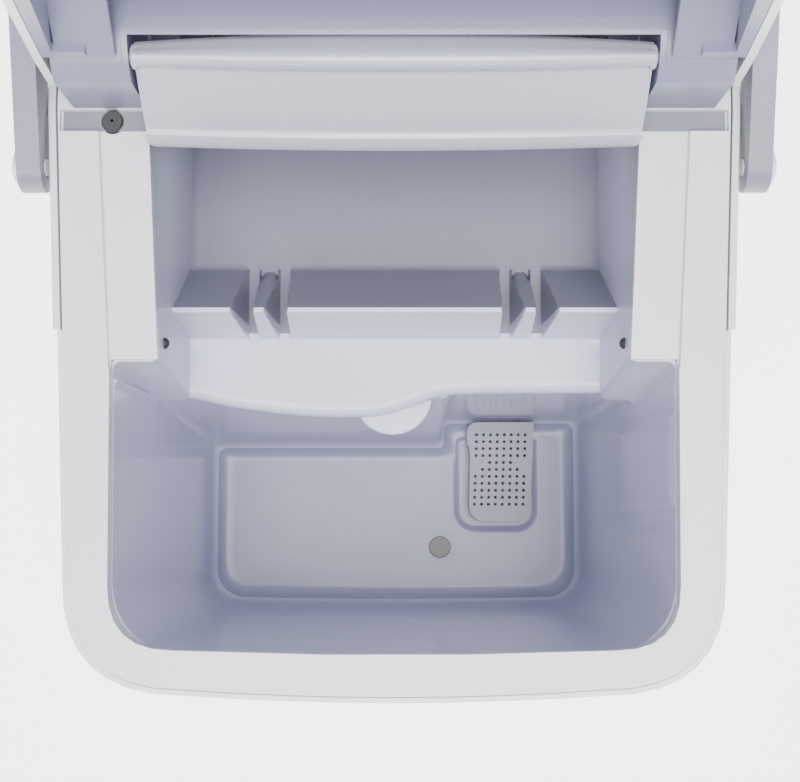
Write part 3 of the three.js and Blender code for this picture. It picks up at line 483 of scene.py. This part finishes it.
def label_pad(x, y, z):
    """A faint raised field on the right wall and a small one on the front wall."""
    side = 0.0
    if x > 60 and -90 < y < -50:
        inside = min(y + 86.5, -54.5 - y, z - 139, 231 - z)
        side = 0.8 * smooth(inside / 1.0)
    front = 0.0
    if y < -125 and 10 < x < 24:
        inside = min(x - 13.2, 20.4 - x, z - 190, 226 - z)
        front = 0.6 * smooth(inside / 1.0)
    return side, front


def tank_levels(fillet):
    """Heights of the wall's rings and how far each stands in, down round the floor's fillet."""
    levels = [(TANK_TOP_Z - k * 4.2, 0.0) for k in range(48)]
    levels = [lv for lv in levels if lv[0] > FLOOR_Z + fillet + 1]
    for k in range(8):
        a = math.radians(90 * k / 7)
        levels.append((FLOOR_Z + fillet * (1 - math.sin(a)), fillet * (1 - math.cos(a))))
    return levels


def make_tank():
    """The tank's lining, drawn in rings from the mouth down and in across the floor."""
    fillet = bpy.context.scene.ice_maker_sizes.floor_fillet / MM
    rings = [[(x, y, z) for x, y in tank_ring(z, inset)] for z, inset in tank_levels(fillet)]
    base = rings[-1]
    shrink = [1 - k / FLOOR_RINGS for k in range(1, FLOOR_RINGS)] + [0.002]
    for s in shrink:
        ring = []
        for x, y, z in base:
            px = TANK_MIDDLE[0] + (x - TANK_MIDDLE[0]) * s
            py = TANK_MIDDLE[1] + (y - TANK_MIDDLE[1]) * s
            dimple = 0.18 * smooth((9.0 - math.dist((px, py), PLUG_PLACE)) / 3.0)
            ring.append((px, py, FLOOR_Z - well_depth(px, py) * smooth((1 - s) * 14) - dimple))
        rings.append(ring)

    def point(column, row):
        x, y, z = rings[row][column % RING_POINTS]
        side, front = label_pad(x, y, z)
        return x - side, y + front, z

    bm = surface(point, RING_POINTS + 1, len(rings))
    middles = [(f, f.calc_center_median()) for f in bm.faces]
    over = [f for f, middle in middles if middle.z > 156 * MM and middle.y > -43 * MM]
    bmesh.ops.delete(bm, geom=over, context="FACES")
    return thickened(face_up(bm, (0, -90, 130)), 2.2)


def ridge_height(x, y):
    """The ridge's top at a place, with its four drain slots and two small pegs."""
    ax = abs(x)
    foot = 9.0
    if 46.6 < ax < 54:
        t = (ax - 50.2) / 4.4
        foot = 8.0 - 7.0 * (1 - math.sqrt(max(0.04, 1 - t * t)))
    if y > -13:
        top = CHAMBER_Z + 42 * (foot - y) / (foot + 13)
    elif y > -15:
        top = CREST_Z
    else:
        top = CREST_Z - 42 * (-15 - y) / 4
    top = min(max(top, CHAMBER_Z), CREST_Z)
    for slot in (44.0, 56.5):
        out = abs(ax - slot)
        top = min(top, CHAMBER_Z + max(0.0, out - 2.3) * 24)
    return top


def make_trough():
    """The ice chamber's floor, ridge, shelf and apron in one sheet."""
    beside_slots = [-82.4 + 2.0 * k for k in range(11)]
    at_slots = [-62 + 0.5 * k for k in range(50)]
    between_slots = [-36 + 3.0 * k for k in range(13)]
    xs = {round(v, 2) for v in [-94, -90, -86] + beside_slots + at_slots + between_slots}
    xs = sorted(xs | {-v for v in xs} | {0.0})
    behind_ridge = [106, 80, 60, 45, 32, 22, 14, 11] + [9.6 - 0.8 * k for k in range(28)]
    over_crest = [-13.1, -13.5, -14, -14.5, -14.9]
    ridge_front = [-15.2 - 0.33 * k for k in range(12)]
    ys = behind_ridge + over_crest + ridge_front + [-19.2, -19.8, -21, -24, -28, -32, -36]
    flat, lip, drop = 6, 9, 3

    def point(column, row):
        x = xs[column]
        front = along(APRON_FRONT, x)
        if row < len(ys):
            y = ys[row]
            z = max(CHAMBER_Z, ridge_height(x, y))
            foot = math.exp(-((abs(x) - 82.5) / 2.2) ** 2)
            if y > -20 and abs(x) < 82.5:
                z += 1.4 * foot * (CREST_Z - z) / 42
            return x, y, z
        k = row - len(ys)
        if k < flat:
            t = k / (flat - 1)
            y = -36 + (front + 4.4 + 36) * smooth(0.3 + 0.7 * t) if t < 1 else front + 4.4
            return x, y, CHAMBER_Z
        k -= flat
        if k < lip:
            a = math.radians(90 - 90 * (k + 1) / lip)
            return x, front + 4.4 - 4.4 * math.cos(a), CHAMBER_Z - 5 + 5 * math.sin(a)
        k -= lip
        return x, front + (0.3, 1.2, 2.6)[k], (157.5, 153.5, 151)[k]

    bm = surface(point, len(xs), len(ys) + flat + lip + drop)
    return thickened(face_up(bm, (0, 50, 400)), 1.6)


def make_post_wall(side):
    """The chamber's side wall, and the post's front that runs on into the tank."""
    zs = [234.4, 232, 228, 222, 214, 206, 196, 186, 176, 170, 166, 163, 160, 157, 154, 151, 148]

    def inner(y, z):
        return 82 + (1.8 + 0.055 * y) * smooth((z - 196) / 38)

    def front(z):
        if z > 165:
            return -36.5 - 7.2 * ((234.4 - z) / 69.4) ** 1.3
        return -43.7 + 5.4 * smooth((165 - z) / 17)

    def point(column, row):
        z = zs[row]
        yf, r = front(z), 3.2
        if column < 12:
            y = 106 - (106 - yf - r) * column / 12
            return side * inner(y, z), y, z
        if column < 21:
            a = math.radians(90 * (column - 12) / 8)
            return side * (inner(yf, z) + r * (1 - math.cos(a))), yf + r * (1 - math.sin(a)), z
        x0 = inner(yf, z) + r
        x1 = tank_half(yf, z) - 3.0
        if column < 28:
            return side * (x0 + (x1 - x0) * (column - 20) / 7), yf, z
        if column < 36:
            a = math.radians(90 * (column - 28) / 7)
            return side * (x1 + 3.0 * math.sin(a)), yf - 3.2 * (1 - math.cos(a)), z
        return side * (tank_half(yf, z) + 0.1), -49, z

    bm = surface(point, 37, len(zs))
    return thickened(face_up(bm, (0, 10, 200)), 1.4)


def make_tongue():
    """The half-round tongue under the apron's edge."""
    bm = bmesh.new()
    outline = arc_points(-1, -40.9, 16, 180, 360, 40)
    verts = [bm.verts.new((x * MM, y * MM, 156 * MM)) for x, y in outline]
    bm.faces.new(verts)
    made = bmesh.ops.extrude_face_region(bm, geom=bm.faces[:])
    for v in (g for g in made["geom"] if isinstance(g, bmesh.types.BMVert)):
        v.co.z -= 3.4 * MM
    bmesh.ops.recalc_face_normals(bm, faces=bm.faces)
    bmesh.ops.bevel(bm, geom=corners_past(bm, 1.0), offset=0.8 * MM, segments=3, profile=0.5,
                    affect="EDGES", material=-1)
    return bm


# The flap's outer side, y and z from its rear flange over the bead and down to the stepped lip
FLAP_SECTION = [
    (65.6, 271.0), (64.2, 272.4), (61.8, 273.8), (59.6, 275.2), (57.6, 276.0), (56.0, 275.4),
    (55.0, 273.6), (54.6, 271.6), (54.9, 270.0), (55.0, 268.6), (53.8, 266.6), (51.6, 263.8),
    (48.8, 260.4), (46.0, 256.8), (43.4, 253.0), (41.6, 250.0), (40.9, 248.6), (39.9, 248.0),
    (38.6, 247.6), (37.6, 246.0), (36.6, 243.8), (36.0, 241.6), (36.6, 240.2), (37.6, 239.8),
]


def disc(x, radius, depth, segments):
    """A short round bar on the flap's axis."""
    bm = bmesh.new()
    place = Matrix.Translation(Vector((x, *FLAP_AXIS)) * MM) @ Matrix.Rotation(math.radians(90), 4, "Y")
    bmesh.ops.create_cone(bm, cap_ends=True, segments=segments, radius1=radius * MM, radius2=radius * MM,
                          depth=depth * MM, matrix=place)
    return bm


def make_flap():
    """The guard flap: a bowed sheet with a top bead, a convex face and a stepped lower lip."""
    half, columns = 85.2, 61
    spine = resampled(FLAP_SECTION, 72)
    count = len(spine)

    def point(column, row):
        u = -1 + 2 * column / (columns - 1)
        y, z = spine[row]
        t = row / (count - 1)
        bow = 1 - u * u
        corner = smooth((t - 0.86) / 0.14)
        x = u * (half - 3.2 * corner * corner)
        top = smooth((0.28 - t) / 0.28)
        y += top * (3.2 * bow - 1.0) + (1.9 - 1.9 * bow) * (1 - top)
        z += bow * 1.2 * (1 - top)
        return x, y, z

    sheet = thickened(face_up(surface(point, columns, count), (0, 0, 300)), 1.5)
    ears = []
    for side in (-1, 1):
        ear = disc(side * 84.9, 4.2, 2.6, 40)
        bmesh.ops.bevel(ear, geom=corners_past(ear, 1.0), offset=1.1 * MM, segments=4, profile=0.5,
                        affect="EDGES", material=-1)
        ears += [ear, disc(side * 85.5, 2.2, 6, 24)]
    return joined(sheet, *ears)


def make_roof_lip():
    """The front lip of the housing's roof, behind the flap's top edge."""
    line = arc_points(*LID_AXIS, 21.75, 97, 103.4, 8)

    def point(column, row):
        y, z = line[row]
        return -87 + 174 * column / 24, y, z

    return thickened(face_up(surface(point, 25, len(line)), (0, 60, 400)), 1.8)


def make_screw():
    """The sunk cross-head screw beside the left post, near black so that it also paints the shade in its
    hole.
    """
    bm = bmesh.new()
    place = Matrix.Translation(Vector((-99, 48, 237.9)) * MM)
    bmesh.ops.create_cone(bm, cap_ends=True, segments=32, radius1=4.3 * MM, radius2=3.4 * MM,
                          depth=1.6 * MM, matrix=place)
    for turn in (20, 110):
        bmesh.ops.create_cube(bm, size=MM, matrix=place @ Matrix.Rotation(math.radians(turn), 4, "Z")
                              @ Matrix.Translation((0, 0, 0.8 * MM)) @ Matrix.Diagonal((4.4, 0.9, 0.5, 1)))
    return bm


def make_window(side):
    """The dark domed window of an ice sensor, standing out of the post's inner face."""
    bm = bmesh.new()
    place = Matrix.Translation(Vector((side * 82.3, -28.6, 223)) * MM)
    bmesh.ops.create_uvsphere(bm, u_segments=24, v_segments=16, radius=2.1 * MM, matrix=place)
    return bm


def make_brow(side):
    """The raised band over the hinge nose beside the flap, where the lid's lining ends."""
    line = arc_points(*LID_AXIS, 22.05, 100, 127, 12)

    def point(column, row):
        y, z = line[row]
        return side * (88.6 + 23.0 * column / 8), y, z

    return thickened(face_up(surface(point, 9, len(line)), (0, 0, 400)), 0.3)


def make_shelf_strip(side):
    """The lining's ledge between a post and the hinge nose, a thin sheet over the top frame coloured with
    painted shade.
    """
    bm = bmesh.new()
    middle = Vector((side * 101.6, 48.1, 237.55)) * MM
    place = Matrix.Translation(middle) @ Matrix.Diagonal((29.4, 7.2, 0.3, 1))
    bmesh.ops.create_cube(bm, size=MM, matrix=place)
    return bm


def make_filter_cover(hole, pitch):
    """The filter cover: a plate with its rows of holes, a rounded tab and a skirt."""
    x0, x1, y0, y1, top = 36.4, 67.9, -91.6, -43.2, 39.0
    outline = (arc_points(x0 + 6.5, y0 + 7, 7, 180, 270, 7) + arc_points(x1 - 8.2, y0 + 6, 6, 270, 357, 7)
               + arc_points(x1 - 1.2, y1 - 1.2, 1.2, 0, 90, 4) + arc_points(x0 + 3.5, y1 - 5, 5, 90, 180, 7)
               + arc_points(x0 + 2.5, y1 - 9.2, 4, 180, 218, 4) + [(x0 - 0.1, y1 - 14.4), (x0, y1 - 17)])
    bm = bmesh.new()

    def loop(points):
        verts = [bm.verts.new((x * MM, y * MM, top * MM)) for x, y in points]
        return [bm.edges.new((verts[k], verts[(k + 1) % len(verts)])) for k in range(len(verts))]

    rim = loop(outline)
    edges = list(rim)
    middle = 51.6
    for row, count in enumerate((8, 8, 8, 8, 4, 6, 8, 8, 8, 8, 8)):
        y = y1 - 6.2 - pitch * row
        for k in range(count):
            x = middle + (k - (count - 1) / 2) * pitch - 0.13 * row
            edges += loop(arc_points(x, y, hole / 2, 0, 324, 10))
    bmesh.ops.triangle_fill(bm, use_beauty=True, use_dissolve=False, edges=edges, normal=(0, 0, 1))
    made = bmesh.ops.extrude_edge_only(bm, edges=rim)
    for v in (g for g in made["geom"] if isinstance(g, bmesh.types.BMVert)):
        v.co.z = (FLOOR_Z + 0.4) * MM
    bmesh.ops.recalc_face_normals(bm, faces=bm.faces)
    return thickened(face_up(bm, (50, -70, 300)), 1.1)


# ---- Camera and stage ----
class ICEMAKER_OT_stage(bpy.types.Operator):
    """Lay the pale floor, the soft lights and the camera"""
    bl_idname = "icemaker.stage"
    bl_label = "Build Stage"

    def execute(self, context):
        sizes = context.scene.ice_maker_sizes
        lens = bpy.data.cameras.new("view")
        lens.sensor_width, lens.lens = 36, 60.4
        camera = bpy.data.objects.new("view", lens)
        camera.location = (0.002, -0.092, sizes.camera_height)
        camera.rotation_euler = (sizes.camera_tilt, 0, 0)
        context.collection.objects.link(camera)
        context.scene.camera = camera

        bm = bmesh.new()
        bmesh.ops.create_grid(bm, x_segments=2, y_segments=2, size=4)
        mesh = bpy.data.meshes.new("floor")
        bm.to_mesh(mesh)
        bm.free()
        floor = bpy.data.objects.new("floor", mesh)
        floor_look = material("pale floor", (0.97, 0.97, 0.97), 0.8, drift=0.0, bump=0.0, wear=0.0)
        glow = floor_look.node_tree.nodes["Principled BSDF"]
        glow.inputs["Emission Color"].default_value = (1, 1, 1, 1)
        glow.inputs["Emission Strength"].default_value = 2.2
        mesh.materials.append(floor_look)
        context.collection.objects.link(floor)

        world = bpy.data.worlds.new("studio")
        world.use_nodes = True
        world.node_tree.nodes["Background"].inputs["Color"].default_value = (0.95, 0.96, 1, 1)
        world.node_tree.nodes["Background"].inputs["Strength"].default_value = 0.8
        context.scene.world = world
        for name, place, aim, size, power in (
            ("front softbox", (-0.3, -1.9, 3.2), (0, -0.05, 0.1), 2.0, 140),
            ("overhead softbox", (0.3, -0.5, 3.4), (0, -0.05, 0.1), 1.8, 110),
        ):
            lamp = bpy.data.lights.new(name, "AREA")
            lamp.size, lamp.energy = size, power
            ob = bpy.data.objects.new(name, lamp)
            ob.location = place
            ob.rotation_euler = (Vector(aim) - Vector(place)).to_track_quat("-Z", "Y").to_euler()
            context.collection.objects.link(ob)
        return {"FINISHED"}


# ---- Pieces that keep the part's shape, with rounded edges ----
class ICEMAKER_OT_casing(bpy.types.Operator):
    """Finish the shells, the rim, the rear deck, the base and the feet"""
    bl_idname = "icemaker.casing"
    bl_label = "Build Casing"

    def execute(self, context):
        edge = context.scene.ice_maker_sizes.edge
        for node, width in (("front_shell", 0.6), ("rear_shell", 0.6), ("top_frame", 1.1), ("rear_deck", 1.0),
                            ("base_pan", 0.5), ("rear_grille", 0.4), ("cord_gland", 0.5)):
            refined(node, edge * width)
        for node in ("front_left", "front_right", "rear_left", "rear_right"):
            refined("foot_" + node, edge * 0.6)
        return {"FINISHED"}


class ICEMAKER_OT_controls(bpy.types.Operator):
    """Finish the control panel, its buttons, its lens and its board"""
    bl_idname = "icemaker.controls"
    bl_label = "Build Controls"

    def execute(self, context):
        edge = context.scene.ice_maker_sizes.edge
        for node, width in (("control_panel", 0.35), ("indicator_lens", 0.2), ("control_board", 0.1),
                            ("power_button", 0.5), ("size_button", 0.5), ("clean_button", 0.5)):
            refined(node, edge * width)
        return {"FINISHED"}


class ICEMAKER_OT_lid(bpy.types.Operator):
    """Finish the lid's shell and lining and its hinge pins"""
    bl_idname = "icemaker.lid"
    bl_label = "Build Lid"

    def execute(self, context):
        edge = context.scene.ice_maker_sizes.edge
        refined("lid_shell", edge, 3)
        # The lid's lining takes the darkened painted-shade copy of the inner-cover colour.
        refined("lid_liner", edge * 1.6, 3, "lid_lining_painted_shade")
        refined("lid_hinge_pin_left", edge * 0.4)
        refined("lid_hinge_pin_right", edge * 0.4)
        return {"FINISHED"}


class ICEMAKER_OT_handle(bpy.types.Operator):
    """Finish the carry handle and its pivot caps"""
    bl_idname = "icemaker.handle"
    bl_label = "Build Handle"

    def execute(self, context):
        edge = context.scene.ice_maker_sizes.edge
        refined("carry_handle", edge * 2.4, 4, "handle_plastic")
        refined("handle_pivot_left", edge * 0.5)
        refined("handle_pivot_right", edge * 0.5)
        return {"FINISHED"}


class ICEMAKER_OT_tank(bpy.types.Operator):
    """Finish the water tank, the filter cover and the drain plug"""
    bl_idname = "icemaker.tank"
    bl_label = "Build Tank"

    def execute(self, context):
        sizes = context.scene.ice_maker_sizes
        edge = sizes.edge
        tank = piece("tank_lining", make_tank(), ["water_tank"], "tank_plastic")
        # Faces near the tank's floor take the darker painted-shade copy of the lining.
        tank.data.materials.append(finish_of("tank_floor_painted_shade"))
        for f in tank.data.polygons:
            if f.center.z < (FLOOR_Z + 2.5) * MM:
                f.material_index = 1
        plate = make_filter_cover(sizes.hole / MM, sizes.hole_pitch / MM)
        piece("filter_plate", plate, ["pump_cover"], "filter_grey")
        plug = rounded("drain_plug", edge * 0.4)
        x0, y0 = (c * MM for c in PLUG_PLACE)
        for v in plug.verts:
            v.co.x = x0 + (v.co.x - x0) * PLUG_NARROWING
            v.co.y = y0 + (v.co.y - y0) * PLUG_NARROWING
        even_normals(piece("drain_stopper", plug, ["drain_plug"]))
        return {"FINISHED"}


class ICEMAKER_OT_chamber(bpy.types.Operator):
    """Finish the ice chamber, the housing, the flap and the ice sensors"""
    bl_idname = "icemaker.chamber"
    bl_label = "Build Chamber"

    def execute(self, context):
        edge = context.scene.ice_maker_sizes.edge
        chamber = joined(make_trough(), make_post_wall(-1), make_post_wall(1), make_tongue())
        lining = piece("chamber_lining", chamber, ["ice_chamber"])
        # Painted shade: two darker copies of the lining, one for the chamber's floor and one for the ridge's
        # back slope.
        lining.data.materials.append(finish_of("chamber_floor_painted_shade"))
        lining.data.materials.append(finish_of("chamber_ramp_painted_shade"))
        # Faces behind the ridge's crest: floor faces take the darkest painted shade, the back slope's faces
        # the lighter one.
        for f in lining.data.polygons:
            low = f.center.z < 0.166 and f.center.y > -0.017
            if (f.center.y > -0.0135 or low) and abs(f.center.x) < 0.0815 and f.center.z < 0.2068:
                f.material_index = 1 if f.center.z < 0.166 else 2
        housing = joined(rounded("evaporator_housing", edge), make_roof_lip())
        # The housing and its roof lip share the lid lining's painted shade.
        even_normals(piece("housing_cover", housing, ["evaporator_housing"], "lid_lining_painted_shade"))
        for name, side in (("left", -1), ("right", 1)):
            # Each ledge is a thin sheet laid over the top frame in the lining colour darkened with painted
            # shade.
            added("ledge_" + name, make_shelf_strip(side), "root", "ledge")
            # The nose bands share the lid lining's painted shade.
            added("nose_band_" + name, make_brow(side), "root", "lid_lining_painted_shade")
        # Painted shade: the screw's near-black finish stands in for the dark hole it sits in.
        added("ledge_screw_painted_shade", make_screw(), "root", "dark_plastic")
        piece("flap_sheet", make_flap(), ["guard_flap"], "inner_cover")
        for node, side in (("ir_sensor_left", -1), ("ir_sensor_right", 1)):
            sensor = joined(rounded(node, edge * 0.3), make_window(side))
            even_normals(piece(node + "_finish", sensor, [node]))
        return {"FINISHED"}


class ICEMAKER_OT_machinery(bpy.types.Operator):
    """Finish the cooling circuit, the water circuit and the moving parts inside"""
    bl_idname = "icemaker.machinery"
    bl_label = "Build Machinery"

    NODES = (
        "evaporator", "water_tray", "ice_shovel", "tray_motor", "water_pump", "water_hose",
        "compressor", "compressor_foot_1", "compressor_foot_2", "compressor_foot_3", "condenser",
        "fan_shroud", "fan_rotor", "fan_motor", "filter_drier", "discharge_pipe", "suction_pipe",
        "hot_gas_valve", "main_board",
    )

    def execute(self, context):
        edge = context.scene.ice_maker_sizes.edge
        for node in self.NODES:
            refined(node, edge * 0.3, 1)
        return {"FINISHED"}


class ICEMAKER_PT_panel(bpy.types.Panel):
    bl_label = "Ice Maker"
    bl_idname = "ICEMAKER_PT_panel"
    bl_space_type = "VIEW_3D"
    bl_region_type = "UI"
    bl_category = "Ice Maker"

    def draw(self, context):
        layout = self.layout
        for group in (context.scene.ice_maker_finish, context.scene.ice_maker_sizes):
            for key in group.__annotations__:
                layout.prop(group, key)
        for operator in OPERATORS:
            layout.operator(operator.bl_idname)


OPERATORS = (ICEMAKER_OT_stage, ICEMAKER_OT_casing, ICEMAKER_OT_controls, ICEMAKER_OT_lid, ICEMAKER_OT_handle,
             ICEMAKER_OT_tank, ICEMAKER_OT_chamber, ICEMAKER_OT_machinery)
CLASSES = (IceMakerFinish, IceMakerSizes, *OPERATORS, ICEMAKER_PT_panel)


def register():
    for c in CLASSES:
        bpy.utils.register_class(c)
    bpy.types.Scene.ice_maker_finish = PointerProperty(type=IceMakerFinish)
    bpy.types.Scene.ice_maker_sizes = PointerProperty(type=IceMakerSizes)


def unregister():
    del bpy.types.Scene.ice_maker_sizes
    del bpy.types.Scene.ice_maker_finish
    for c in reversed(CLASSES):
        bpy.utils.unregister_class(c)


def main():
    register()
    for name in ("stage", "casing", "controls", "lid", "handle", "tank", "chamber", "machinery"):
        getattr(bpy.ops.icemaker, name)()


if __name__ == "__main__":
    main()
